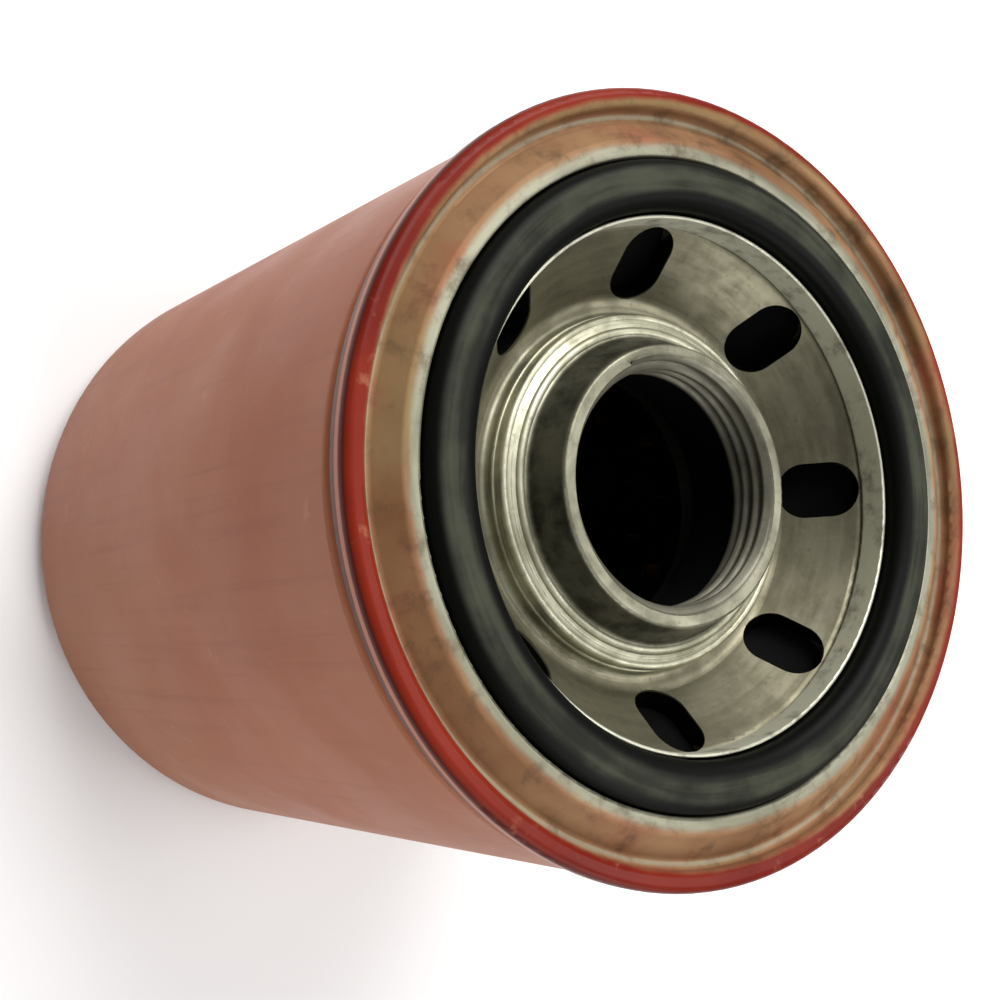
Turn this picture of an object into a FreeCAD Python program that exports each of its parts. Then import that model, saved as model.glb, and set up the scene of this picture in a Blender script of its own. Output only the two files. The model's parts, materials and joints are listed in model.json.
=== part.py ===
import FreeCAD, Part
import math
import os
import Sketcher

# Spin-on oil filter, standing on its closed end with the threaded end up.
# Millimetres. The origin is the centre of the closed end; +Z is the filter's axis.
# Heights in the profiles are taken from "seam plane", the level where the rolled seam is widest.

SIZES = {
    # rolled seam and can
    "seam_radius": 40.0,
    "seam_plane": 90.2,
    "seam_top": 0.7,
    "seam_drop": 2.9,
    "can_radius": 39.3,
    "neck_radius": 38.7,
    "can_wall": 0.5,
    "end_corner": 4.0,
    "panel_radius": 27.0,
    "panel_rise": 1.0,
    "hook_depth": 1.95,
    # seaming lid, which also holds the gasket
    "lid_wall": 0.38,
    "lip_radius": 26.7,
    "lip_top": 0.3,
    "channel_radius": 32.7,
    "channel_floor": 2.7,
    "ring_radius": 34.5,
    "ring_top": 1.2,
    "chuck_radius": 37.8,
    "countersink": 1.8,
    # gasket
    "gasket_inner": 27.3,
    "gasket_outer": 32.5,
    "gasket_stand": 2.5,
    # tapping plate and its threaded hub
    "plate_radius": 37.9,
    "plate_wall": 2.3,
    "cone_top_radius": 26.9,
    "cone_foot_radius": 20.6,
    "dish_depth": 10.0,
    "shoulder_radius": 18.3,
    "shoulder_depth": 7.5,
    "neck_foot_radius": 15.9,
    "rim_radius": 14.4,
    "rim_depth": 2.65,
    "thread_radius": 13.0,
    "thread_end": 9.2,
    "slot_count": 8,
    "slot_length": 9.0,
    "slot_width": 6.1,
    # anti-drain-back valve
    "collar_inner": 13.4,
    "collar_outer": 16.6,
    "flap_inner": 17.0,
    "flap_outer": 31.2,
    "flap_wall": 1.1,
    "flap_travel": 1.5,
    # filter element
    "element_top": 73.9,
    "element_bottom": 19.0,
    "cap_wall": 0.4,
    "cap_radius": 35.0,
    "cap_skirt": 4.0,
    "potting_wall": 1.8,
    "media_outer": 34.0,
    "media_inner": 16.2,
    "media_sheet": 0.7,
    "pleat_count": 48,
    "tube_radius": 15.4,
    "tube_wall": 0.4,
    "tube_hole": 1.6,
    "tube_columns": 12,
    "tube_rows": 9,
    "clip_width": 1.8,
    # bypass valve in the bottom cap
    "seat_radius": 10.0,
    "seat_bore": 7.0,
    "seat_lip": 1.2,
    "washer_radius": 8.6,
    "washer_wall": 1.0,
    "poppet_wall": 0.8,
    "stem_radius": 1.6,
    "cage_radius": 12.6,
    "cage_wall": 0.8,
    "cage_height": 17.0,
    "bypass_lift": 3.5,
    "valve_coil_radius": 5.2,
    "valve_wire": 0.45,
    "valve_pitch": 2.4,
    # spring that lifts the element against the plate
    "element_travel": 2.5,
    "cup_radius": 17.0,
    "coil_radius": 14.2,
    "coil_wire": 1.0,
    "coil_pitch": 4.2,
    # small clearance between sheets that are rolled together
    "fit_gap": 0.03,
}

doc = FreeCAD.newDocument("oil_filter")
sheet = doc.addObject("Spreadsheet::Sheet", "sizes")
parts = {}


class Size:
    """A dimension that carries its value and the sheet formula that gives it."""

    def __init__(self, value, formula):
        self.value = float(value)
        self.formula = formula

    def _with(self, other, sign, value):
        return Size(value, "(%s %s %s)" % (self.formula, sign, as_size(other).formula))

    def __add__(self, other):
        return self._with(other, "+", self.value + as_size(other).value)

    def __sub__(self, other):
        return self._with(other, "-", self.value - as_size(other).value)

    def __mul__(self, other):
        return self._with(other, "*", self.value * as_size(other).value)

    def __truediv__(self, other):
        return self._with(other, "/", self.value / as_size(other).value)


def as_size(number):
    """A plain number as a Size; a Size is returned as it is."""
    if isinstance(number, Size):
        return number
    return Size(number, "%.6g" % number)


def size(name):
    """The sheet cell with this alias, as a Size."""
    return Size(SIZES[name], "sizes." + name)


def level(offset):
    """A height measured up from the seam plane."""
    return size("seam_plane") + offset


def fill_sheet():
    """Write each driving dimension into the sheet under its alias."""
    for row, (name, value) in enumerate(SIZES.items(), start=1):
        sheet.set("A%d" % row, str(value))
        sheet.setAlias("A%d" % row, name)
    doc.recompute()


def origin_feature(body, role):
    """A body's own origin plane or axis."""
    return [feature for feature in body.Origin.OriginFeatures if feature.Role == role][0]


def new_body(label):
    """An empty body, registered as the sub-part of that name."""
    body = doc.addObject("PartDesign::Body", label)
    body.Label = label
    body.Placement = FreeCAD.Placement()
    parts[label] = body
    return body


def new_sketch(body, name, role="XZ_Plane"):
    """A sketch on one of the body's origin planes."""
    sketch = body.newObject("Sketcher::SketchObject", name)
    sketch.AttachmentSupport = [(origin_feature(body, role), "")]
    sketch.MapMode = "FlatFace"
    return sketch


def bind(sketch, constraint, dimension):
    """Add a dimensional constraint and tie it to its sheet formula."""
    index = sketch.addConstraint(constraint)
    sketch.setExpression("Constraints[%d]" % index, dimension.formula)


def pin_point(sketch, element, position, across, up):
    """Fix a point of the sketch by its two coordinates."""
    bind(sketch, Sketcher.Constraint("DistanceX", -1, 1, element, position, across.value), across)
    bind(sketch, Sketcher.Constraint("DistanceY", -1, 1, element, position, up.value), up)


def corner_points(before, corner, after, radius):
    """Tangent points and centre of a round of that radius at a corner."""
    towards_before = (before - corner).normalize()
    towards_after = (after - corner).normalize()
    half_angle = towards_before.getAngle(towards_after) / 2
    setback = radius / math.tan(half_angle)
    middle = (towards_before + towards_after).normalize()
    start = corner + towards_before * setback
    end = corner + towards_after * setback
    return start, end, corner + middle * (radius / math.sin(half_angle))


def outline(sketch, corners):
    """Draw a closed outline; each corner is (across, up) or (across, up, round radius)."""
    count = len(corners)
    across = [as_size(corner[0]) for corner in corners]
    up = [as_size(corner[1]) for corner in corners]
    rounds = [as_size(corner[2] if len(corner) > 2 else 0) for corner in corners]
    sharp = [FreeCAD.Vector(across[i].value, up[i].value, 0) for i in range(count)]
    arrive, leave, centres = list(sharp), list(sharp), list(sharp)
    for i in range(count):
        if rounds[i].value > 0:
            arrive[i], leave[i], centres[i] = corner_points(
                sharp[i - 1], sharp[i], sharp[(i + 1) % count], rounds[i].value)
    for i in range(count):
        sketch.addGeometry(Part.LineSegment(leave[i], arrive[(i + 1) % count]), False)
    for i in range(count):
        line_in = (i - 1) % count
        if rounds[i].value > 0:
            round_corner(sketch, line_in, i, sharp[i], arrive[i], leave[i], centres[i],
                         across[i], up[i], rounds[i])
        else:
            sketch.addConstraint(Sketcher.Constraint("Coincident", line_in, 2, i, 1))
            pin_point(sketch, i, 1, across[i], up[i])


def round_corner(sketch, line_in, line_out, corner, start, end, centre, across, up, radius):
    """Add a tangent arc between two lines whose meeting point is fixed."""
    mark = sketch.addGeometry(Part.Point(corner), True)
    pin_point(sketch, mark, 1, across, up)
    sketch.addConstraint(Sketcher.Constraint("PointOnObject", mark, 1, line_in))
    sketch.addConstraint(Sketcher.Constraint("PointOnObject", mark, 1, line_out))
    first = math.atan2(start.y - centre.y, start.x - centre.x)
    second = math.atan2(end.y - centre.y, end.x - centre.x)
    turn = (second - first) % (2 * math.pi)
    forward = turn < math.pi
    low, high = (first, first + turn) if forward else (second, second + 2 * math.pi - turn)
    circle = Part.Circle(centre, FreeCAD.Vector(0, 0, 1), radius.value)
    arc = sketch.addGeometry(Part.ArcOfCircle(circle, low, high), False)
    start_end, end_end = (1, 2) if forward else (2, 1)
    sketch.addConstraint(Sketcher.Constraint("Tangent", line_in, 2, arc, start_end))
    sketch.addConstraint(Sketcher.Constraint("Tangent", line_out, 1, arc, end_end))
    bind(sketch, Sketcher.Constraint("Radius", arc, radius.value), radius)


def turned(label, corners):
    """A body of revolution about Z from a closed outline of (radius, height, round)."""
    body = new_body(label)
    sketch = new_sketch(body, label + "_profile")
    outline(sketch, corners)
    revolution = body.newObject("PartDesign::Revolution", label + "_turn")
    revolution.Profile = sketch
    revolution.ReferenceAxis = (sketch, ["V_Axis"])
    revolution.Angle = 360
    doc.recompute()
    return body


def around(body, feature, count):
    """Repeat a feature evenly about Z."""
    pattern = body.newObject("PartDesign::PolarPattern", feature.Name + "_pattern")
    pattern.Originals = [feature]
    pattern.Axis = (origin_feature(body, "Z_Axis"), [""])
    pattern.Angle = 360
    pattern.setExpression("Occurrences", count.formula)
    body.Tip = pattern
    doc.recompute()
    return pattern


def cut(body, sketch, depth, side="Symmetric"):
    """Pocket a sketch, and check that it takes material away."""
    before = body.Shape.Volume
    pocket = body.newObject("PartDesign::Pocket", sketch.Name + "_cut")
    pocket.Profile = sketch
    pocket.SideType = side
    pocket.setExpression("Length", as_size(depth).formula)
    doc.recompute()
    if not pocket.Shape.Volume < before - 0.01:
        raise RuntimeError(pocket.Name + " removes nothing")
    return pocket


def place_sketch(sketch, across, up, tilt):
    """Move a sketch along X and Z and tilt it about Y, within its plane's attachment."""
    turn = FreeCAD.Rotation(FreeCAD.Vector(0, 1, 0), tilt)
    base = FreeCAD.Vector(across.value, 0, up.value)
    sketch.AttachmentOffset = FreeCAD.Placement(base, turn)
    sketch.setExpression("AttachmentOffset.Base.x", across.formula)
    sketch.setExpression("AttachmentOffset.Base.z", up.formula)


def stadium(sketch, length, width):
    """A slot outline with round ends, centred, its length along the sketch's X."""
    half = length / 2
    corners = [(half, width / 2), (half * -1, width / 2), (half * -1, width / -2), (half, width / -2)]
    end_radius = width * 0.499
    outline(sketch, [(across, up, end_radius) for across, up in corners])


def add_can_shell():
    """Drawn can: flat end with a raised centre panel, side wall, neck and body hook of the seam."""
    wall = size("can_wall")
    rise = size("panel_rise")
    panel = size("panel_radius")
    radius = size("can_radius")
    neck = size("neck_radius")
    gap = size("fit_gap")
    corner = size("end_corner")
    seam_underside = size("seam_top") - size("lid_wall") - gap
    hook_outer = size("seam_radius") - size("lid_wall") - gap
    shoulder = size("seam_drop") * -1 - 1.7
    neck_end = size("seam_drop") * -1 - 0.6
    turned("can_shell", [
        (0, rise),
        (panel, rise, 0.8),
        (panel + 1.4, 0, 0.8),
        (radius, 0, corner),
        (radius, level(shoulder), 1.2),
        (neck, level(neck_end), 1.2),
        (neck, level(seam_underside - wall)),
        (hook_outer - wall, level(seam_underside - wall)),
        (hook_outer - wall, level(size("hook_depth") * -1 + seam_underside.value), 0.1),
        (hook_outer, level(size("hook_depth") * -1 + seam_underside.value), 0.1),
        (hook_outer, level(seam_underside), 0.25),
        (neck - wall, level(seam_underside), 0.25),
        (neck - wall, level(neck_end), 1.2),
        (radius - wall, level(shoulder), 1.2),
        (radius - wall, wall, corner - wall),
        (panel + 1.4 - wall / 2, wall, 0.8),
        (panel - wall / 2, rise + wall, 0.8),
        (0, rise + wall),
    ])


def add_seaming_lid():
    """Thin lid: inner lip, gasket channel, raised ring, countersink and the seam's outer fold."""
    wall = size("lid_wall")
    lip = size("lip_radius")
    lip_top = level(size("lip_top"))
    channel = size("channel_radius")
    floor = level(size("channel_floor") * -1)
    ring = size("ring_radius")
    ring_top = level(size("ring_top"))
    chuck = size("chuck_radius")
    sink = level(size("countersink") * -1)
    outer = size("seam_radius")
    top = level(size("seam_top"))
    bottom = level(size("seam_drop") * -1)
    curl_inner = size("neck_radius") + size("fit_gap")
    curl_tip = level(-0.5)
    taper_start = level(-1.3)
    turned("seaming_lid", [
        (lip, lip_top, 0.15),
        (lip + wall, lip_top, 0.15),
        (lip + wall, floor, 0.4),
        (channel, floor, 0.4),
        (channel, ring_top, 0.35),
        (ring, ring_top - 0.1, 0.7),
        (chuck, sink, 0.7),
        (chuck, top, 0.6),
        (outer, top, 0.9),
        (outer, taper_start, 2.0),
        (outer - 0.4, bottom, 0.4),
        (curl_inner, bottom, 0.25),
        (curl_inner, curl_tip, 0.1),
        (curl_inner + 0.28, curl_tip, 0.1),
        (curl_inner + 0.28, bottom + wall),
        (outer - 0.4 - wall, bottom + wall),
        (outer - wall, taper_start),
        (outer - wall, top - wall, 0.3),
        (chuck + wall, top - wall, 0.2),
        (chuck + wall, sink - wall * 2.2, 1.0),
        (ring - 0.14, ring_top - 0.1 - wall, 0.4),
        (channel + wall, ring_top - wall, 0.1),
        (channel + wall, floor - wall, 0.6),
        (lip, floor - wall, 0.5),
    ])


def add_seam_compound():
    """Sealing compound flowed into the top of the seam, between the body wall and its hook."""
    inner = size("neck_radius") + size("fit_gap")
    outer = size("seam_radius") - size("lid_wall") - size("fit_gap") * 2 - size("can_wall")
    top = size("seam_top") - size("lid_wall") - size("fit_gap") * 2 - size("can_wall")
    turned("seam_compound", [
        (inner, level(-0.47)),
        (outer, level(-0.47)),
        (outer, level(top)),
        (inner, level(top)),
    ])


def add_tapping_plate():
    """Pressed plate: flat flange, dished cone with inlet slots, shoulder and threaded hub."""
    wall = size("plate_wall")
    flange = level(size("channel_floor") * -1 - size("lid_wall"))
    dish = level(size("dish_depth") * -1)
    cone_top = size("cone_top_radius")
    cone_foot = size("cone_foot_radius")
    shoulder = size("shoulder_radius")
    neck_foot = size("neck_foot_radius")
    rim = size("rim_radius")
    rim_top = level(size("rim_depth") * -1)
    bore = size("thread_radius")
    bore_end = level(size("thread_end") * -1)
    body = turned("tapping_plate", [
        (size("plate_radius"), flange, 0.4),
        (cone_top, flange, 1.2),
        (cone_foot, dish, 1.6),
        (shoulder + 0.6, dish, 0.7),
        (shoulder, level(size("shoulder_depth") * -1), 1.0),
        (neck_foot, level(size("shoulder_depth") * -1 + 0.7), 0.6),
        (rim, rim_top, 0.35),
        (bore + 0.2, rim_top),
        (bore, rim_top - 0.2),
        (bore, bore_end, 0.6),
        (shoulder - 2.2, bore_end - 0.2, 0.6),
        (shoulder - 1.3, dish - wall, 1.2),
        (cone_foot + 0.9, dish - wall, 1.5),
        (cone_top + 1.1, flange - wall, 2.0),
        (size("plate_radius"), flange - wall, 0.4),
    ])
    run = cone_top.value - cone_foot.value
    climb = flange.value - dish.value
    tilt = math.degrees(math.atan2(climb, run))
    slot = new_sketch(body, "inlet_slot", "XY_Plane")
    stadium(slot, size("slot_length"), size("slot_width"))
    lifted = wall * 0.6
    middle_radius = (cone_top + cone_foot) / 2 - lifted * math.sin(math.radians(tilt))
    middle_height = (flange + dish) / 2 + lifted * math.cos(math.radians(tilt))
    place_sketch(slot, middle_radius, middle_height, -tilt)
    pocket = cut(body, slot, wall * 2.6, "One side")
    around(body, pocket, size("slot_count"))


def add_base_gasket():
    """Moulded rubber gasket: flat foot in the channel, crowned top that seals on the engine."""
    inner = size("gasket_inner")
    outer = size("gasket_outer")
    foot = level(size("channel_floor") * -1)
    top = level(size("gasket_stand"))
    turned("base_gasket", [
        (inner, foot, 0.45),
        (outer, foot, 0.45),
        (outer, top, 1.8),
        (inner, top, 1.5),
    ])


def add_drainback_valve():
    """Anti-drain-back valve: rubber collar under the hub, and the flap that covers the slots."""
    wall = size("flap_wall")
    underside = level(size("thread_end") * -1 - 0.25)
    plate_bottom = level(size("dish_depth") * -1 - size("plate_wall"))
    flange_bottom = level(size("channel_floor") * -1 - size("lid_wall") - size("plate_wall"))
    element_top = size("element_top") + 0.15
    inner = size("collar_inner")
    outer = size("collar_outer")
    turned("drainback_collar", [
        (inner, element_top, 0.3),
        (outer, element_top, 0.3),
        (outer, plate_bottom - 0.7),
        (outer - 0.9, plate_bottom + 0.3, 0.3),
        (outer - 0.9, underside, 0.3),
        (inner, underside, 0.3),
    ])
    root_top = plate_bottom - 0.15
    lip_top = flange_bottom - 0.15
    turned("drainback_flap", [
        (size("flap_inner"), root_top - wall, 0.3),
        (size("cone_foot_radius") + 2.0, root_top - wall, 1.2),
        (size("cone_top_radius") + 2.2, lip_top - wall, 1.5),
        (size("flap_outer"), lip_top - wall, 0.4),
        (size("flap_outer"), lip_top, 0.4),
        (size("cone_top_radius") + 1.3, lip_top, 1.2),
        (size("cone_foot_radius") + 1.2, root_top, 1.2),
        (size("flap_inner"), root_top, 0.3),
    ])


def end_cap(label, face, inward, bore, turned_edge):
    """Pressed end cap: flat ring at a face height, with a skirt and a turned inner edge."""
    wall = size("cap_wall")
    radius = size("cap_radius")
    turned(label, [
        (bore, face, 0.35),
        (radius, face, 0.9),
        (radius, face + inward * size("cap_skirt").value, 0.1),
        (radius - wall, face + inward * size("cap_skirt").value, 0.1),
        (radius - wall, face + inward * wall.value, 0.5),
        (bore + wall, face + inward * wall.value, 0.2),
        (bore + wall, face + inward * turned_edge, 0.1),
        (bore, face + inward * turned_edge, 0.1),
    ])


def potting_ring(label, face, inward):
    """Cured sealing compound between an end cap and the ends of the pleats."""
    inner = size("tube_radius") + 0.05
    outer = size("cap_radius") - size("cap_wall") - 0.05
    low = face + inward * size("cap_wall").value
    high = low + inward * size("potting_wall").value
    turned(label, [(inner, low), (outer, low, 0.45), (outer, high), (inner, high)])


def add_end_caps():
    """The element's two end caps and their potting."""
    bore = size("tube_radius") - size("tube_wall") - size("cap_wall") - 0.05
    end_cap("top_end_cap", size("element_top"), -1, bore, 3.0)
    potting_ring("top_potting", size("element_top"), -1)
    end_cap("bottom_end_cap", size("element_bottom"), 1, size("seat_radius") + 0.03, 1.2)
    potting_ring("bottom_potting", size("element_bottom"), 1)


def media_span():
    """Heights of the lower and upper ends of the pleats."""
    buried = size("cap_wall") + size("potting_wall")
    return size("element_bottom") + buried, size("element_top") - buried


def add_pleated_media():
    """Filter paper folded into a ring of pleats, as one closed band."""
    count = SIZES["pleat_count"]
    inner, outer = SIZES["media_inner"], SIZES["media_outer"]
    half = SIZES["media_sheet"] / 2
    low, high = media_span()
    step = math.pi / count
    band = []
    for side in (1, -1):
        ring = []
        for fold in range(2 * count):
            at_crest = fold % 2 == 0
            radius = (outer if at_crest else inner) + side * (half * 1.4 if at_crest else half)
            ring.append(FreeCAD.Vector(radius * math.cos(fold * step), radius * math.sin(fold * step), 0))
        band.append(Part.Face(Part.makePolygon(ring + ring[:1])))
    section = band[0].cut(band[1])
    feature = doc.addObject("Part::Feature", "pleated_media")
    feature.Shape = section.extrude(FreeCAD.Vector(0, 0, high.value - low.value))
    feature.Placement = FreeCAD.Placement(FreeCAD.Vector(0, 0, low.value), FreeCAD.Rotation())
    feature.Label = "pleated_media"
    parts["pleated_media"] = feature


def add_media_clip():
    """Folded metal strip that joins the two ends of the paper, standing on an outer fold."""
    low = size("element_bottom") + size("cap_skirt") + 0.2
    high = size("element_top") - size("cap_skirt") - 0.2
    inner = size("media_outer") + size("media_sheet")
    half = size("clip_width") / 2
    body = new_body("media_clip")
    sketch = new_sketch(body, "media_clip_profile", "XY_Plane")
    outline(sketch, [
        (inner, half * -1), (inner + 0.3, half * -1), (inner + 0.3, half), (inner, half),
    ])
    place_sketch(sketch, as_size(0), low, 0)
    pad = body.newObject("PartDesign::Pad", "media_clip_strip")
    pad.Profile = sketch
    pad.setExpression("Length", (high - low).formula)
    doc.recompute()


def add_centre_tube():
    """Steel tube that carries the pleats, with rows of staggered drain holes."""
    wall = size("tube_wall")
    radius = size("tube_radius")
    low = size("element_bottom") + size("cap_wall")
    high = size("element_top") - size("cap_wall")
    body = turned("centre_tube", [
        (radius - wall, low), (radius, low), (radius, high), (radius - wall, high),
    ])
    media_low, media_high = media_span()
    rows = SIZES["tube_rows"]
    spacing = (media_high - media_low) / (rows + 1)
    for stagger in (0, 1):
        sketch = new_sketch(body, "drain_holes_%d" % (stagger + 1), "YZ_Plane")
        for row in range(stagger, rows, 2):
            height = media_low + spacing * (row + 1)
            centre = FreeCAD.Vector(0, height.value, 0)
            circle = Part.Circle(centre, FreeCAD.Vector(0, 0, 1), SIZES["tube_hole"])
            hole = sketch.addGeometry(circle, False)
            pin_point(sketch, hole, 3, as_size(0), height)
            bind(sketch, Sketcher.Constraint("Radius", hole, SIZES["tube_hole"]), size("tube_hole"))
        turn = FreeCAD.Rotation(FreeCAD.Vector(0, 1, 0), stagger * 180.0 / SIZES["tube_columns"])
        sketch.AttachmentOffset = FreeCAD.Placement(FreeCAD.Vector(0, 0, 0), turn)
        doc.recompute()
        pocket = cut(body, sketch, radius + 2, "One side")
        around(body, pocket, size("tube_columns"))


def add_bypass_valve():
    """Relief valve pressed in the bottom cap: seat, washer, poppet, spring and cage."""
    wall = size("cap_wall")
    floor = size("element_bottom")
    lip = floor + wall + size("seat_lip")
    seat = size("seat_radius")
    bore = size("seat_bore")
    turned("bypass_seat", [
        (bore, floor - 0.8, 0.3),
        (seat + 1.5, floor - 0.8, 0.2),
        (seat + 1.5, floor - 0.02),
        (seat, floor - 0.02),
        (seat, lip - 0.2, 0.3),
        (bore + 0.5, lip, 0.2),
        (bore, lip, 0.2),
    ])
    washer_top = lip + 0.02 + size("washer_wall")
    turned("bypass_washer", [
        (2.4, lip + 0.02), (size("washer_radius"), lip + 0.02, 0.2),
        (size("washer_radius"), washer_top, 0.2), (2.4, washer_top),
    ])
    plate_top = washer_top + size("poppet_wall")
    cage_top = floor + wall + size("cage_height")
    stem = size("stem_radius")
    stem_top = cage_top + 1.6
    turned("bypass_poppet", [
        (0, lip - 0.6), (3.2, lip - 0.6, 0.3), (3.2, lip, 0.1), (2.35, lip + 0.01), (2.35, washer_top),
        (size("washer_radius") - 0.3, washer_top, 0.2), (size("washer_radius") - 0.3, plate_top, 0.2),
        (stem + 0.9, plate_top, 0.1), (stem, plate_top + 1.2, 0.4), (stem, stem_top, 0.4), (0, stem_top),
    ])
    turned("poppet_clip", [
        (stem + 0.02, cage_top + 0.15), (stem + 1.3, cage_top + 0.15, 0.15),
        (stem + 1.3, cage_top + 0.65, 0.15), (stem + 0.02, cage_top + 0.65),
    ])
    add_bypass_cage(floor + wall + 0.02, cage_top)
    add_coil("bypass_spring", size("valve_coil_radius"), size("valve_wire"), size("valve_pitch"),
             plate_top + 0.05, cage_top - size("cage_wall") - 0.05)


def add_bypass_cage(low, top):
    """Cage over the poppet: a flanged cup with four windows and a guide hole for the stem."""
    wall = size("cage_wall")
    radius = size("cage_radius")
    body = turned("bypass_cage", [
        (radius - 2.2, low, 0.1), (radius, low, 0.3), (radius, low + wall, 0.3),
        (radius - 1.3, low + wall, 0.4), (radius - 3.0, top, 1.2),
        (size("stem_radius") + 0.25, top, 0.15), (size("stem_radius") + 0.25, top - wall, 0.15),
        (radius - 3.0 - wall, top - wall, 0.6), (radius - 1.3 - wall, low + wall, 0.2),
    ])
    sketch = new_sketch(body, "cage_window", "YZ_Plane")
    half = radius * 0.42
    outline(sketch, [
        (half * -1, low + 2.6, 1.0), (half, low + 2.6, 1.0),
        (half * 0.75, top - 2.6, 1.0), (half * -0.75, top - 2.6, 1.0),
    ])
    pocket = cut(body, sketch, radius + 1, "One side")
    around(body, pocket, as_size(4))


def add_coil(label, radius, wire, pitch, low, high):
    """Open coil spring whose wire runs between two heights."""
    body = new_body(label)
    sketch = new_sketch(body, label + "_wire")
    centre = FreeCAD.Vector(radius.value, (low + wire).value, 0)
    circle = sketch.addGeometry(Part.Circle(centre, FreeCAD.Vector(0, 0, 1), wire.value), False)
    pin_point(sketch, circle, 3, radius, low + wire)
    bind(sketch, Sketcher.Constraint("Radius", circle, wire.value), wire)
    coil = body.newObject("PartDesign::AdditiveHelix", label + "_turns")
    coil.Profile = sketch
    coil.ReferenceAxis = (sketch, ["V_Axis"])
    coil.Mode = "pitch-height-angle"
    coil.setExpression("Pitch", pitch.formula)
    coil.setExpression("Height", (high - low - wire * 2).formula)
    doc.recompute()


def add_element_support():
    """Spring cup on the bottom cap and the spring that stands in the can's end."""
    wall = 0.6
    top = size("element_bottom") - 0.85
    cup = size("cup_radius")
    seat = size("seat_radius") - 1.0
    turned("spring_cup", [
        (seat, top, 0.1), (cup, top, 0.8), (cup, top - 3.0, 0.2), (cup - wall, top - 3.0, 0.2),
        (cup - wall, top - wall, 0.4), (seat, top - wall, 0.1),
    ])
    end_inside = size("panel_rise") + size("can_wall")
    add_coil("element_spring", size("coil_radius"), size("coil_wire"), size("coil_pitch"),
             end_inside + 0.1, top - wall - 0.1)


def check_and_export():
    """Stop on any failed object or bad solid, then write one STEP file for each sub-part."""
    doc.recompute()
    for item in doc.Objects:
        if "Invalid" in item.State or "Error" in item.State:
            raise RuntimeError("%s failed: %s" % (item.Name, item.State))
    os.makedirs("parts", exist_ok=True)
    for label, item in parts.items():
        shape = item.Shape
        if shape.isNull() or not shape.isValid() or not shape.Solids:
            raise RuntimeError("bad solid: " + label)
    for label, item in parts.items():
        item.Shape.exportStep("parts/%s.step" % label)
        box = item.Shape.BoundBox
        print("%-18s %d solid  z %.2f to %.2f  r %.2f  %.0f mm3" % (
            label, len(item.Shape.Solids), box.ZMin, box.ZMax, box.XMax, item.Shape.Volume))


fill_sheet()
add_can_shell()
add_seaming_lid()
add_seam_compound()
add_tapping_plate()
add_base_gasket()
add_drainback_valve()
add_end_caps()
add_pleated_media()
add_media_clip()
add_centre_tube()
add_bypass_valve()
add_element_support()
check_and_export()
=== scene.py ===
import json
import math
import random

import bpy
from mathutils import Matrix, Vector


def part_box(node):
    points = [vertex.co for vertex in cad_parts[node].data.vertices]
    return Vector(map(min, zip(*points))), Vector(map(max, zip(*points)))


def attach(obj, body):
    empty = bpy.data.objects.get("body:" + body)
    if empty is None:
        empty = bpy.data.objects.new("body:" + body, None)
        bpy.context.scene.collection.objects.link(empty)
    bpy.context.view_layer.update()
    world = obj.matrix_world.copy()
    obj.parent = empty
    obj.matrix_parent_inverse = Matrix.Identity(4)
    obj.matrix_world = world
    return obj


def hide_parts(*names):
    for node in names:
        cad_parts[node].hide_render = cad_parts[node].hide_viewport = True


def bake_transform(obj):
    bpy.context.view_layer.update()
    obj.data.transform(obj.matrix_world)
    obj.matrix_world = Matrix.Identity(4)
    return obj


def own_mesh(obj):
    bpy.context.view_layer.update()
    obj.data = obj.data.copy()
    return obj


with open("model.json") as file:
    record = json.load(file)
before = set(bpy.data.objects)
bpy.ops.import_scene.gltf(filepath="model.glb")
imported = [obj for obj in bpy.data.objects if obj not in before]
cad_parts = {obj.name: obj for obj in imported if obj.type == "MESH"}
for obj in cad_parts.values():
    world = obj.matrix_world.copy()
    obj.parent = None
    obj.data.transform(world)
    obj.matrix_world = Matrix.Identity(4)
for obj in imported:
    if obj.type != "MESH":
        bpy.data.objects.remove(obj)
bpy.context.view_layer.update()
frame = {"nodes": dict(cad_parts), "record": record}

# Spin-on oil filter, standing on its closed end. Metres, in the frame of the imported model.

random.seed(7)

MM = 0.001
SEAM_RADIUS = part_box("seaming_lid")[1].x
GASKET_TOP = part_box("base_gasket")[1].z
SEAM_PLANE = GASKET_TOP - 2.5 * MM           # where the rolled seam is widest
SEAM_FOOT = SEAM_PLANE - 2.9 * MM            # lowest edge of the seam's outer fold
PLATE_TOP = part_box("tapping_plate")[1].z     # rim of the threaded hub
PLATE_FLANGE = SEAM_PLANE - 3.08 * MM        # where the plate lies under the lid
GROOVE_MIDDLE = SEAM_PLANE - 3.5 * MM        # of the can's neck, just under the seam
PAINT_EDGE = 38.3 * MM                       # the paint thins out across the top of the seam

# the lid, from the axis outwards
LIP_RADIUS = 27.5 * MM                       # outside of the inner lip, which is painted lighter as a highlight
GASKET_CREST = 30.2 * MM                     # middle of the gasket's crown
LACQUER_EDGE = 33.75 * MM                    # bare tin inside it, brown lacquer outside
SINK_RADIUS = 37.25 * MM                     # bottom of the countersink, rubbed bare
SEAM_WALL = 39.2 * MM                        # outside this only the seam's outer face

# the plate: its cone between two radii, and the fall of the cone's outer skin per metre inwards
CONE_OUTER = 26.9 * MM
CONE_INNER = 20.6 * MM
CONE_SLOPE = 6.92 / 6.3
SHOULDER_RADIUS = 19.8 * MM                  # foot of the hub's ringed shoulder
NECK_RADIUS = 16.5 * MM                      # foot of the hub's neck
RIM_RADIUS = 14.6 * MM                       # outside of the hub's flat rim
BORE_RADIUS = 12.95 * MM                     # only the thread's ridges are nearer the axis

# ridges on the hub's shoulder: radius, height from the seam plane and half thickness in mm
SHOULDER_RINGS = ((16.55, -7.38, 0.6), (17.4, -7.47, 0.24), (18.15, -7.82, 0.5),
                  (18.62, -8.9, 0.26))

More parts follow.
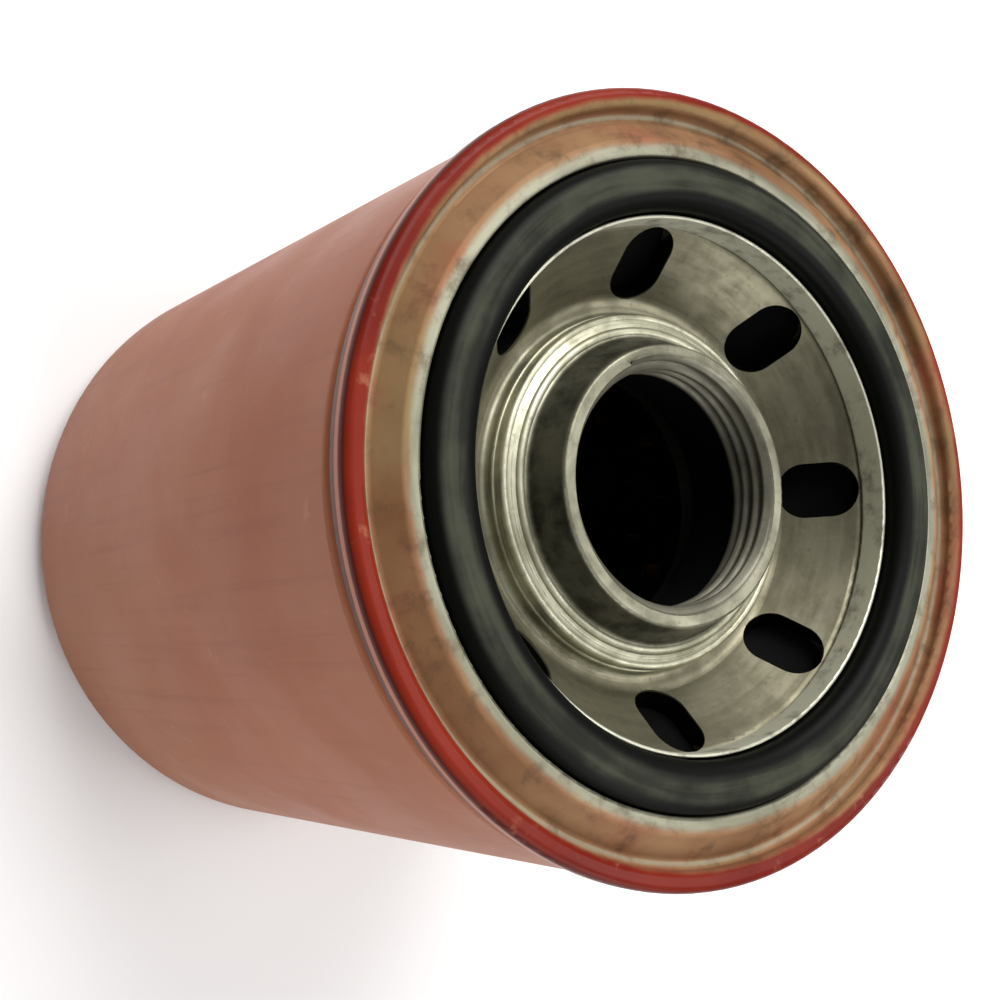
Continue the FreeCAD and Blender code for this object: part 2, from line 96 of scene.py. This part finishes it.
# the flap's section: radius and height from the seam plane in mm, over the top and back below
FLAP_TOP = ((17.05, -12.45), (20.2, -12.45), (21.8, -12.4), (23.4, -10.75), (25.0, -9.0),
            (26.6, -7.28), (28.1, -5.66), (29.4, -5.55), (29.9, -5.45), (30.4, -5.55),
            (31.15, -5.6))
FLAP_UNDER = ((31.2, -6.1), (30.9, -6.5), (29.2, -6.6), (28.3, -7.3), (27.4, -8.75),
              (27.0, -8.7), (26.5, -9.2), (25.3, -10.95), (24.9, -10.9), (24.4, -11.4),
              (22.6, -13.45), (20.0, -13.5), (17.05, -13.5))

# bands round the seam's outer face: middle height and half height in mm from the seam plane, and
# colour. Painted shade along the fold, a painted highlight line, painted dark reflection at the
# crown.
SEAM_BANDS = ((-2.1, 0.75, (74, 32, 17)), (-0.85, 0.36, (170, 112, 92)), (-0.1, 0.38, (78, 15, 6)))

# thread of the hub, M26 x 1.5; a cone that meets the rim at the chamfer's radius cuts its crests
THREAD = {"major": 13.0 * MM, "pitch": 1.5 * MM, "depth": 0.812 * MM, "chamfer": 13.2 * MM}
THREAD_TOP = PLATE_TOP - 0.1 * MM
THREAD_FOOT = SEAM_PLANE - 8.7 * MM

# name, place in metres, width in metres and power in watts
LIGHTS = (("key", (-0.46, 0.08, 0.60), 0.50, 6.0),
          ("side", (0.12, 0.42, 0.72), 0.45, 2.6),
          ("low_fill", (0.55, 0.05, 0.35), 0.40, 1.8))

# place in seam radii from the seam plane's centre, viewing direction and rough upward direction
CAMERA = {"lens": 53.05, "place": (0.3048, -2.4635, 2.7551),
          "forward": (-0.0783, 0.5593, -0.8253), "up": (-0.9955, 0.0, 0.0944)}


# ---------------------------------------------------------------- node helpers

def new_material(name, **sockets):
    """A material with one Principled shader whose constant sockets are set by name."""
    material = bpy.data.materials.new(name)
    material.use_nodes = True
    shader = material.node_tree.nodes["Principled BSDF"]
    for key, value in sockets.items():
        shader.inputs[key.replace("_", " ")].default_value = value
    return material


def add(tree, kind, inputs=None, **settings):
    """A node of a tree, with its settings and its inputs as values or links."""
    made = tree.nodes.new(kind)
    for key, value in settings.items():
        setattr(made, key, value)
    for key, value in (inputs or {}).items():
        if isinstance(value, bpy.types.NodeSocket):
            tree.links.new(value, made.inputs[key])
        else:
            made.inputs[key].default_value = value
    return made


def calc(tree, operation, first, second=0.0):
    """The result of a Math node."""
    return add(tree, "ShaderNodeMath", {0: first, 1: second}, operation=operation).outputs[0]


def gap(tree, value, centre):
    """How far a value lies from a centre, on either side."""
    return calc(tree, "ABSOLUTE", calc(tree, "SUBTRACT", value, centre))


def average(tree, first, second):
    """The mean of two values."""
    halves = [calc(tree, "MULTIPLY", value, 0.5) for value in (first, second)]
    return calc(tree, "ADD", *halves)


def spread(tree, value, low, high, to_low=0.0, to_high=1.0):
    """A value mapped smoothly from one range onto another."""
    inputs = {"Value": value, "From Min": low, "From Max": high,
              "To Min": to_low, "To Max": to_high}
    return add(tree, "ShaderNodeMapRange", inputs, interpolation_type="SMOOTHSTEP").outputs[0]


def mix_value(tree, share, first, second):
    """A value between two values or value sockets."""
    return add(tree, "ShaderNodeMix", {0: share, 2: first, 3: second}).outputs[0]


def blend_colour(tree, share, first, second):
    """A colour between two colours or colour sockets."""
    mix = add(tree, "ShaderNodeMix", data_type="RGBA")
    sockets = (mix.inputs[0], mix.inputs[6], mix.inputs[7])
    for socket, value in zip(sockets, (share, first, second)):
        if isinstance(value, bpy.types.NodeSocket):
            tree.links.new(value, socket)
        else:
            socket.default_value = value
    return mix.outputs[2]


def rgb(red, green, blue):
    """A colour given as display values from 0 to 255, as linear light."""
    def linear(value):
        share = value / 255
        return share / 12.92 if share <= 0.04045 else ((share + 0.055) / 1.055) ** 2.4
    return (linear(red), linear(green), linear(blue), 1.0)


def place(tree):
    """The point on the part, its height, its distance from the axis and its heading from there."""
    point = add(tree, "ShaderNodeTexCoord").outputs["Object"]
    split = add(tree, "ShaderNodeSeparateXYZ", {0: point})
    flat = add(tree, "ShaderNodeCombineXYZ", {0: split.outputs[0], 1: split.outputs[1]})
    radius = add(tree, "ShaderNodeVectorMath", {0: flat.outputs[0]}, operation="LENGTH")
    heading = add(tree, "ShaderNodeVectorMath", {0: flat.outputs[0]}, operation="NORMALIZE")
    return {"point": point, "z": split.outputs[2], "radius": radius.outputs["Value"],
            "heading": heading.outputs[0]}


def grain(tree, where, around, along, detail=3.0, slope=1.0):
    """Noise drawn out around the axis, as a lathe or a press leaves it."""
    turned = add(tree, "ShaderNodeVectorMath", {0: where["heading"], "Scale": around},
                 operation="SCALE")
    rise = calc(tree, "MULTIPLY", where["z"], slope)
    lane = calc(tree, "MULTIPLY", calc(tree, "ADD", where["radius"], rise), along)
    offset = add(tree, "ShaderNodeCombineXYZ", {2: lane})
    vector = add(tree, "ShaderNodeVectorMath", {0: turned.outputs[0], 1: offset.outputs[0]},
                 operation="ADD")
    return noise(tree, vector.outputs[0], 1.0, detail)


def noise(tree, vector, scale, detail=3.0, roughness=0.55):
    """The value of a noise texture."""
    inputs = {"Vector": vector, "Scale": scale, "Detail": detail, "Roughness": roughness}
    return add(tree, "ShaderNodeTexNoise", inputs).outputs[0]


def bump(tree, height, strength, distance, normal=None):
    """A bump normal, laid over another one where that is given."""
    inputs = {"Height": height, "Strength": strength, "Distance": distance}
    if normal is not None:
        inputs["Normal"] = normal
    return add(tree, "ShaderNodeBump", inputs).outputs[0]


def connect(material, **sockets):
    """Link node results to the shader's sockets by name."""
    tree = material.node_tree
    shader = tree.nodes["Principled BSDF"]
    for key, value in sockets.items():
        tree.links.new(value, shader.inputs[key.replace("_", " ")])
    return material


# ---------------------------------------------------------------- materials

def seam_share(tree, where):
    """Zero on the can's side, one on the rolled seam."""
    return spread(tree, where["z"], SEAM_FOOT - 0.5 * MM, SEAM_FOOT + 0.1 * MM)


def seam_band(tree, where, middle, half):
    """One in a band round the seam's outer face, at a height measured from the seam plane."""
    away = gap(tree, where["z"], SEAM_PLANE + middle * MM)
    return calc(tree, "MULTIPLY", spread(tree, away, (half + 0.15) * MM, (half - 0.15) * MM),
                spread(tree, where["radius"], SEAM_WALL, SEAM_WALL + 0.3 * MM))


def paint_colour(tree, where):
    """Red-brown enamel: browner on the can's side, redder on the seam, with faint clouding."""
    cloud = noise(tree, where["point"], 38.0, 4.0)
    share = spread(tree, cloud, 0.3, 0.7)
    side = blend_colour(tree, share, rgb(146, 79, 48), rgb(153, 89, 56))
    wash = noise(tree, where["point"], 15.0, 2.0)
    side = blend_colour(tree, spread(tree, wash, 0.42, 0.75, 0.0, 0.3), side, rgb(150, 112, 82))
    stretch = {0: where["point"], 1: (900.0, 900.0, 24.0)}
    tall = add(tree, "ShaderNodeVectorMath", stretch, operation="MULTIPLY")
    brush = noise(tree, tall.outputs[0], 1.0, 4.0)
    side = blend_colour(tree, spread(tree, brush, 0.5, 0.75, 0.0, 0.3), side, rgb(120, 62, 40))
    seam = blend_colour(tree, share, rgb(94, 18, 9), rgb(124, 36, 20))
    colour = blend_colour(tree, seam_share(tree, where), side, seam)
    # painted shade, a painted highlight and a painted dark reflection in bands round the seam's
    # face
    for middle, half, shade in SEAM_BANDS:
        colour = blend_colour(tree, seam_band(tree, where, middle, half), colour, rgb(*shade))
    # painted shade in the recess of the can's neck, under the seam
    grime_and_shade = spread(tree, gap(tree, where["z"], GROOVE_MIDDLE), 0.7 * MM, 0.3 * MM, 0.0, 0.6)
    colour = blend_colour(tree, grime_and_shade, colour, rgb(44, 22, 14))
    rubs = noise(tree, where["point"], 260.0, 5.0, 0.65)
    return blend_colour(tree, spread(tree, rubs, 0.62, 0.72, 0.0, 0.35), colour, rgb(170, 118, 86))


def paint_surface(tree, where):
    """Orange peel, shallow dents and dusty specks as a normal, and the roughness that goes with it.
    """
    peel = noise(tree, where["point"], 900.0, 2.0)
    waves = noise(tree, where["point"], 160.0, 2.0)
    normal = bump(tree, waves, 0.14, 0.3 * MM)
    normal = bump(tree, peel, 0.14, 0.05 * MM, normal)
    smear = noise(tree, where["point"], 60.0, 5.0, 0.6)
    body = spread(tree, smear, 0.3, 0.7, 0.40, 0.52)
    glossier = calc(tree, "MULTIPLY", seam_share(tree, where), 0.12)
    return normal, calc(tree, "SUBTRACT", body, glossier)


def make_can_paint():
    """The enamel on the can's side, neck and closed end."""
    material = new_material("can_paint", Specular_IOR_Level=0.22)
    tree = material.node_tree
    where = place(tree)
    normal, roughness = paint_surface(tree, where)
    colour = paint_colour(tree, where)
    return connect(material, Base_Color=colour, Roughness=roughness, Normal=normal)


def make_lid():
    """Tinned sheet with a brown lacquer in the countersink, painted red outside it."""
    material = new_material("tinned_lid", Specular_IOR_Level=0.1)
    tree = material.node_tree
    where = place(tree)
    lines = grain(tree, where, 3.0, 2600.0, 2.0, slope=-1.0)
    streak = grain(tree, where, 2.0, 500.0, 4.0)
    share = spread(tree, streak, 0.3, 0.7)
    tin = blend_colour(tree, share, rgb(116, 114, 97), rgb(154, 152, 133))
    # a painted highlight along the inner lip
    lip = spread(tree, where["radius"], LIP_RADIUS, LIP_RADIUS - 0.4 * MM)
    tin = blend_colour(tree, lip, tin, rgb(204, 203, 184))
    lacquer = blend_colour(tree, share, rgb(118, 80, 54), rgb(148, 116, 84))
    bands = grain(tree, where, 0.8, 420.0, 2.0)
    olive = spread(tree, bands, 0.5, 0.7, 0.0, 0.55)
    lacquer = blend_colour(tree, olive, lacquer, rgb(122, 108, 70))
    mist = noise(tree, where["point"], 75.0, 4.0, 0.6)
    lacquer = blend_colour(tree, spread(tree, mist, 0.5, 0.68, 0.0, 0.5), lacquer, rgb(150, 82, 62))
    ragged = calc(tree, "MULTIPLY", noise(tree, where["point"], 320.0), 0.5 * MM)
    sides = add(tree, "ShaderNodeSeparateXYZ", {0: where["heading"]}).outputs
    drift = calc(tree, "MULTIPLY", calc(tree, "SUBTRACT", sides[0], sides[1]), 0.45 * MM)
    edge = calc(tree, "ADD", calc(tree, "ADD", where["radius"], ragged), drift)
    lacquered = calc(tree, "ADD", where["radius"], ragged)
    lacquered = spread(tree, lacquered, LACQUER_EDGE, LACQUER_EDGE + 0.9 * MM)
    bare = spread(tree, gap(tree, where["radius"], SINK_RADIUS), 0.35 * MM, 0.1 * MM)
    lacquered = calc(tree, "SUBTRACT", lacquered, calc(tree, "MULTIPLY", bare, 0.6))
    painted = spread(tree, edge, PAINT_EDGE - 0.1 * MM, PAINT_EDGE + 0.7 * MM)
    metal = blend_colour(tree, lacquered, tin, lacquer)
    grime_and_shade = noise(tree, where["point"], 300.0, 5.0, 0.65)
    metal = blend_colour(tree, spread(tree, grime_and_shade, 0.48, 0.72, 0.0, 0.65), metal, rgb(80, 66, 48))
    peel_normal, peel_rough = paint_surface(tree, where)
    tin_rough = spread(tree, streak, 0.3, 0.7, 0.42, 0.54)
    roughness = mix_value(tree, painted, mix_value(tree, lacquered, tin_rough, 0.58), peel_rough)
    normal = bump(tree, lines, 0.10, 0.05 * MM, peel_normal)
    colour = blend_colour(tree, painted, metal, paint_colour(tree, where))
    shine = mix_value(tree, lacquered, 0.55, 0.2)
    metallic = calc(tree, "MULTIPLY", shine, calc(tree, "SUBTRACT", 1.0, painted))
    return connect(material, Base_Color=colour, Metallic=metallic, Roughness=roughness,
                   Normal=normal)


def make_steel(name, dark, light, rough):
    """Pressed or turned steel with fine rings, clouding and a little grimy tone."""
    material = new_material(name, Metallic=1.0)
    tree = material.node_tree
    where = place(tree)
    cloud = noise(tree, where["point"], 220.0, 4.0)
    streak = grain(tree, where, 2.5, 440.0, 4.0)
    fine = grain(tree, where, 3.0, 2200.0, 2.0)
    mixed = average(tree, cloud, streak)
    colour = blend_colour(tree, spread(tree, mixed, 0.35, 0.65), rgb(*dark), rgb(*light))
    roughness = spread(tree, mixed, 0.35, 0.65, rough + 0.05, rough - 0.05)
    normal = bump(tree, fine, 0.08, 0.04 * MM)
    return connect(material, Base_Color=colour, Roughness=roughness, Normal=normal)


def make_plate_steel():
    """The plate: satin olive-grey cone, ringed shoulder, a bare worn rim, and painted shade on the
    neck, in the bore and on the slot walls.
    """
    material = new_material("plate_steel")
    tree = material.node_tree
    where = place(tree)
    cloud = noise(tree, where["point"], 260.0, 5.0, 0.6)
    speck = noise(tree, where["point"], 1500.0, 3.0, 0.6)
    streak = grain(tree, where, 2.5, 520.0, 4.0)
    fine = grain(tree, where, 4.0, 1700.0, 3.0)
    mixed = average(tree, cloud, streak)
    share = spread(tree, mixed, 0.35, 0.65)
    colour = blend_colour(tree, share, rgb(100, 96, 78), rgb(128, 124, 104))
    hub = spread(tree, where["radius"], SHOULDER_RADIUS, SHOULDER_RADIUS - 1.2 * MM)
    worn = blend_colour(tree, share, rgb(140, 138, 116), rgb(192, 190, 168))
    colour = blend_colour(tree, hub, colour, worn)
    off_rim = spread(tree, where["radius"], RIM_RADIUS - 0.35 * MM, RIM_RADIUS)
    in_neck = spread(tree, where["radius"], NECK_RADIUS, NECK_RADIUS - 0.8 * MM)
    neck = calc(tree, "MULTIPLY", off_rim, in_neck)
    # painted shade on the hub's neck; the same mask also roughens it a little
    oil_and_shade = calc(tree, "MULTIPLY", neck, spread(tree, cloud, 0.25, 0.6, 1.0, 0.8))
    colour = blend_colour(tree, oil_and_shade, colour, rgb(28, 27, 22))
    rim = spread(tree, where["radius"], RIM_RADIUS, RIM_RADIUS - 0.25 * MM)
    bare = blend_colour(tree, share, rgb(104, 102, 86), rgb(142, 140, 121))
    colour = blend_colour(tree, rim, colour, bare)
    # darker inside the bore: painted shade
    bore = spread(tree, where["radius"], BORE_RADIUS + 0.3 * MM, BORE_RADIUS)
    colour = blend_colour(tree, calc(tree, "MULTIPLY", bore, 0.45), colour, rgb(60, 55, 44))
    # near black on the faces below the cone's outer skin, such as the slot walls: painted shade
    cone = calc(tree, "MULTIPLY", calc(tree, "SUBTRACT", where["radius"], CONE_OUTER), CONE_SLOPE)
    skin = calc(tree, "SUBTRACT", calc(tree, "ADD", cone, PLATE_FLANGE), where["z"])
    past_foot = spread(tree, where["radius"], CONE_INNER, CONE_INNER + 0.3 * MM)
    within = spread(tree, where["radius"], CONE_OUTER, CONE_OUTER - 0.3 * MM)
    on_cone = calc(tree, "MULTIPLY", past_foot, within)
    below_skin_shade = calc(tree, "MULTIPLY", on_cone, spread(tree, skin, 0.15 * MM, 0.4 * MM))
    colour = blend_colour(tree, below_skin_shade, colour, rgb(10, 10, 8))
    stain = spread(tree, speck, 0.55, 0.8, 0.0, 0.5)
    colour = blend_colour(tree, stain, colour, rgb(78, 73, 54))
    roughness = spread(tree, mixed, 0.35, 0.65, 0.54, 0.42)
    roughness = calc(tree, "ADD", roughness, calc(tree, "MULTIPLY", oil_and_shade, 0.1))
    metallic = mix_value(tree, bore, 0.85, 0.45)
    normal = bump(tree, fine, calc(tree, "MULTIPLY", hub, 0.35), 0.06 * MM)
    normal = bump(tree, speck, 0.10, 0.04 * MM, normal)
    return connect(material, Base_Color=colour, Metallic=metallic, Roughness=roughness,
                   Normal=normal)


def make_rubber(name, dark, light, rough):
    """Moulded rubber with a fine skin texture, dusted and oiled in patches."""
    material = new_material(name, Specular_IOR_Level=0.08)
    tree = material.node_tree
    where = place(tree)
    patch = noise(tree, where["point"], 90.0, 5.0, 0.6)
    skin = noise(tree, where["point"], 2400.0, 3.0)
    colour = blend_colour(tree, spread(tree, patch, 0.3, 0.7), rgb(*dark), rgb(*light))
    roughness = spread(tree, patch, 0.3, 0.7, rough + 0.06, rough - 0.06)
    normal = bump(tree, skin, 0.15, 0.03 * MM)
    return connect(material, Base_Color=colour, Roughness=roughness, Normal=normal)


def make_gasket():
    """Black moulded rubber with a lighter band along its sealing crown: partly dust and wear,
    partly painted sheen.
    """
    material = new_material("gasket_rubber", Specular_IOR_Level=0.08)
    tree = material.node_tree
    where = place(tree)
    rings = grain(tree, where, 1.5, 900.0, 4.0)
    skin = noise(tree, where["point"], 2000.0, 3.0)
    patch = noise(tree, where["point"], 120.0, 5.0, 0.6)
    # lighter band along the crown: dust and wear, and painted sheen
    crown = spread(tree, gap(tree, where["radius"], GASKET_CREST), 1.7 * MM, 0.8 * MM)
    worn = spread(tree, calc(tree, "ADD", rings, patch), 0.75, 1.25, 0.25, 1.0)
    dust_and_sheen = calc(tree, "MULTIPLY", crown, worn)
    colour = blend_colour(tree, dust_and_sheen, rgb(6, 7, 5), rgb(62, 63, 52))
    roughness = mix_value(tree, dust_and_sheen, 0.48, 0.62)
    normal = bump(tree, rings, 0.22, 0.08 * MM, bump(tree, skin, 0.15, 0.03 * MM))
    return connect(material, Base_Color=colour, Roughness=roughness, Normal=normal)


def make_plain(name, dark, light, rough, scale, strength, depth):
    """A matte material with clouded colour and a rough skin: paper, compound or nylon."""
    material = new_material(name)
    tree = material.node_tree
    where = place(tree)
    cloud = noise(tree, where["point"], scale, 5.0, 0.6)
    skin = noise(tree, where["point"], scale * 12, 3.0)
    colour = blend_colour(tree, spread(tree, cloud, 0.3, 0.7), rgb(*dark), rgb(*light))
    roughness = spread(tree, skin, 0.3, 0.7, rough - 0.05, rough + 0.05)
    normal = bump(tree, skin, strength, depth)
    return connect(material, Base_Color=colour, Roughness=roughness, Normal=normal)


LOOKS = {
    "can_paint": make_can_paint(),
    "tinned_lid": make_lid(),
    "seam_compound": make_plain("seam_compound", (86, 84, 76), (104, 101, 92), 0.6,
                                200.0, 0.2, 0.05 * MM),
    "plate_steel": make_plate_steel(),
    "gasket_rubber": make_gasket(),
    "valve_rubber": make_rubber("valve_rubber", (4, 4, 4), (8, 8, 8), 0.8),
    "cap_steel": make_steel("cap_steel", (160, 158, 150), (190, 188, 180), 0.34),
    "potting": make_plain("potting", (150, 70, 40), (172, 86, 52), 0.5, 150.0, 0.15, 0.08 * MM),
    "filter_paper": make_plain("filter_paper", (128, 92, 40), (150, 112, 56), 0.85,
                               120.0, 0.3, 0.06 * MM),
    "clip_steel": make_steel("clip_steel", (150, 150, 148), (178, 178, 176), 0.3),
    # the centre tube: a dark steel finish, kept near black as painted shade for the filter's inside
    "tube_steel": make_steel("tube_steel", (34, 33, 31), (48, 46, 42), 0.5),
    "valve_nylon": make_plain("valve_nylon", (26, 26, 28), (36, 36, 38), 0.45,
                              180.0, 0.12, 0.04 * MM),
    "cage_steel": make_steel("cage_steel", (140, 140, 134), (168, 168, 160), 0.36),
    "spring_steel": make_steel("spring_steel", (96, 96, 98), (120, 120, 122), 0.3),
}


def dress_frame():
    """Give every CAD node the look of its material slot."""
    for entry in frame["record"]["subparts"]:
        node = frame["nodes"][entry["node"]]
        for index in range(len(node.material_slots)):
            node.material_slots[index].material = LOOKS[entry["material_slot"]]
        for polygon in node.data.polygons:
            polygon.use_smooth = True


# ---------------------------------------------------------------- pieces

def make_piece(name, points, faces, slot, body):
    """A mesh piece with the look of a slot, riding on a body unless that is None."""
    mesh = bpy.data.meshes.new(name)
    mesh.from_pydata(points, [], faces)
    mesh.update()
    piece = bpy.data.objects.new(name, mesh)
    bpy.context.scene.collection.objects.link(piece)
    mesh.materials.append(LOOKS[slot])
    for polygon in mesh.polygons:
        polygon.use_smooth = True
    if body is not None:
        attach(piece, body)
    return piece


def hub_wall(height):
    """Radius of the hub's bare wall at a height: chamfered at the rim."""
    return THREAD["major"] + max(0.0, height - PLATE_TOP + 0.2 * MM)


def thread_ring(height, share):
    """Section of the thread's ridge, as (radius, height) points from its foot round its crest."""
    half = THREAD["pitch"] * 7 / 16              # a sixteenth of the pitch stays bare each side
    ring = [(hub_wall(height - half) + 0.05 * MM, height - half)]
    for step in (-1.0, -0.64, -0.285, 0.0, 0.285, 0.64, 1.0):
        level = height + step * half
        rise = min(THREAD["depth"], (1 - abs(step)) * half * math.sqrt(3)) * share
        cone = THREAD["chamfer"] - (PLATE_TOP - level) * 0.92
        ring.append((max(THREAD["major"] - rise, min(cone, hub_wall(level))), level))
    ring.append((hub_wall(height + half) + 0.05 * MM, height + half))
    return ring


def add_thread():
    """The internal thread, as one ridge that winds up the hub's wall and runs out at both ends."""
    per_turn = 120
    first_turn, spare_turns = 0.3, 0.4
    turns = (THREAD_TOP - THREAD_FOOT) / THREAD["pitch"] - spare_turns
    steps = int(per_turn * turns)
    points, faces = [], []
    width = len(thread_ring(0.0, 1.0))
    for step in range(steps + 1):
        angle = 2 * math.pi * step / per_turn
        height = THREAD_FOOT + THREAD["pitch"] * (first_turn + step / per_turn)
        run_out = min(step, steps - step) / (per_turn * 0.3)
        share = min(1.0, run_out) * (1 - 0.03 * random.random())
        for radius, level in thread_ring(height, share):
            points.append((radius * math.cos(angle), radius * math.sin(angle), level))
    for step in range(steps):
        for side in range(width):
            nxt = (side + 1) % width
            low, high = step * width, (step + 1) * width
            faces.append((low + side, low + nxt, high + nxt, high + side))
    faces.append(tuple(range(width)))
    faces.append(tuple(reversed(range(steps * width, steps * width + width))))
    make_piece("hub_thread", points, faces, "plate_steel", "can")


def lathe(profile, steps, wobble=0.0):
    """Points and faces of a closed profile of (radius, height) points turned about the axis."""
    points, faces = [], []
    count = len(profile)
    for step in range(steps):
        angle = 2 * math.pi * step / steps
        shift = wobble * (random.random() - 0.5)
        for radius, height in profile:
            points.append((radius * math.cos(angle), radius * math.sin(angle), height + shift))
    for step in range(steps):
        here, ahead = step * count, (step + 1) % steps * count
        for side in range(count):
            after = (side + 1) % count
            faces.append((here + side, ahead + side, ahead + after, here + after))
    return points, faces


def softened(corners, reach):
    """A closed profile with each corner replaced by a small round of four points."""
    rounded = []
    for index, corner in enumerate(corners):
        here = Vector(corner)
        before, after = Vector(corners[index - 1]), Vector(corners[(index + 1) % len(corners)])
        start = here + (before - here).normalized() * min(reach, (before - here).length * 0.45)
        end = here + (after - here).normalized() * min(reach, (after - here).length * 0.45)
        for share in (0.0, 0.33, 0.67, 1.0):
            point = start * (1 - share) ** 2 + here * 2 * share * (1 - share) + end * share ** 2
            rounded.append((point.x, point.y))
    return rounded


def add_shoulder_rings():
    """Turned ridges on the hub's shoulder, proud of the steel by a fraction of a millimetre."""
    points, faces = [], []
    sides = 20
    for radius, height, size in SHOULDER_RINGS:
        centre_r, centre_z = radius * MM, SEAM_PLANE + height * MM
        section = []
        for side in range(sides):
            angle = 2 * math.pi * side / sides
            section.append((centre_r + size * MM * math.cos(angle),
                            centre_z + size * MM * math.sin(angle)))
        ring_points, ring_faces = lathe(section, 160, 0.03 * MM)
        start = len(points)
        points += ring_points
        faces += [tuple(start + corner for corner in face) for face in ring_faces]
    make_piece("shoulder_rings", points, faces, "plate_steel", "can")


def add_flap():
    """The valve's flap as one moulded skirt turned from its section, in place of the CAD flap."""
    section = [(radius * MM, SEAM_PLANE + height * MM) for radius, height in FLAP_TOP + FLAP_UNDER]
    points, faces = lathe(softened(section, 0.25 * MM), 144)
    flap = make_piece("flap_skirt", points, faces, "valve_rubber", None)
    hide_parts("drainback_flap")
    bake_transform(flap)


def add_spring(name, node, body, radius, wire, turns):
    """A coil spring with closed ends that fills its node's height; radii in metres."""
    low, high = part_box(node)[0].z + wire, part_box(node)[1].z - wire
    per_turn, sides = 40, 10
    steps = int(per_turn * turns)
    closed = 0.9 * per_turn
    gentle = 2.1 * wire / per_turn
    middle = (high - low - gentle * closed * 2) / (steps - closed * 2)
    points, faces = [], []
    height = low
    for step in range(steps + 1):
        angle = 2 * math.pi * step / per_turn
        out = Vector((math.cos(angle), math.sin(angle), 0))
        for side in range(sides):
            turn = 2 * math.pi * side / sides
            lift = Vector((0, 0, height + wire * math.sin(turn)))
            points.append(tuple(out * (radius + wire * math.cos(turn)) + lift))
        height += gentle if step < closed or step >= steps - closed else middle
    for step in range(steps):
        for side in range(sides):
            after = (side + 1) % sides
            here, ahead = step * sides, (step + 1) * sides
            faces.append((here + side, ahead + side, ahead + after, here + after))
    faces.append(tuple(reversed(range(sides))))
    faces.append(tuple(range(steps * sides, steps * sides + sides)))
    spring = make_piece(name, points, faces, "spring_steel", body)
    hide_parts(node)
    return spring


def add_springs():
    """Both springs, each riding on its body."""
    spring = add_spring("lift_spring", "element_spring", "can", 14.2 * MM, 1.0 * MM, 5.2)
    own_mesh(spring)
    spring = add_spring("relief_spring", "bypass_spring", "element", 5.2 * MM, 0.45 * MM, 7.0)
    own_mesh(spring)


# ---------------------------------------------------------------- stage

def area_light(name, location, target, size, power):
    """A soft square white light that points at a target."""
    light = bpy.data.lights.new(name, "AREA")
    light.shape = "RECTANGLE"
    light.size = size
    light.size_y = size
    light.energy = power
    holder = bpy.data.objects.new(name, light)
    bpy.context.scene.collection.objects.link(holder)
    holder.location = location
    direction = Vector(target) - Vector(location)
    holder.rotation_euler = direction.to_track_quat("-Z", "Y").to_euler()


def add_floor():
    """A plain pale floor, far larger than the part and a hair below it so that no faces meet."""
    reach = 3.0
    drop = -0.02 * MM
    ways = ((-1, -1), (1, -1), (1, 1), (-1, 1))
    mesh = bpy.data.meshes.new("floor")
    mesh.from_pydata([(x * reach, y * reach, drop) for x, y in ways], [], [(0, 1, 2, 3)])
    floor = bpy.data.objects.new("floor", mesh)
    bpy.context.scene.collection.objects.link(floor)
    white = (0.95, 0.95, 0.95, 1)
    mesh.materials.append(new_material("floor_white", Base_Color=white, Roughness=0.9))


def add_lights():
    """Even surroundings, with a large soft key from above, a side light and a low fill."""
    world = bpy.data.worlds.new("studio")
    world.use_nodes = True
    background = world.node_tree.nodes["Background"]
    background.inputs["Color"].default_value = (1.0, 1.0, 1.0, 1)
    background.inputs["Strength"].default_value = 0.34
    bpy.context.scene.world = world
    for name, location, size, power in LIGHTS:
        area_light(name, location, (0, 0, SEAM_PLANE), size, power)


def add_camera():
    """The photograph's viewing angle: onto the threaded end, with the closed end to the left."""
    data = bpy.data.cameras.new("camera")
    data.lens = CAMERA["lens"]
    data.sensor_width = 36.0
    data.clip_start = 0.01
    camera = bpy.data.objects.new("camera", data)
    bpy.context.scene.collection.objects.link(camera)
    forward = Vector(CAMERA["forward"]).normalized()
    right = forward.cross(Vector(CAMERA["up"])).normalized()
    up = right.cross(forward)
    turn = Matrix((right, up, -forward)).transposed()
    place_at = Vector(CAMERA["place"]) * SEAM_RADIUS + Vector((0, 0, SEAM_PLANE))
    camera.matrix_world = Matrix.Translation(place_at) @ turn.to_4x4()
    bpy.context.scene.camera = camera


dress_frame()
add_thread()
add_shoulder_rings()
add_flap()
add_springs()
add_floor()
add_lights()
add_camera()
bpy.context.scene.view_settings.view_transform = "Standard"
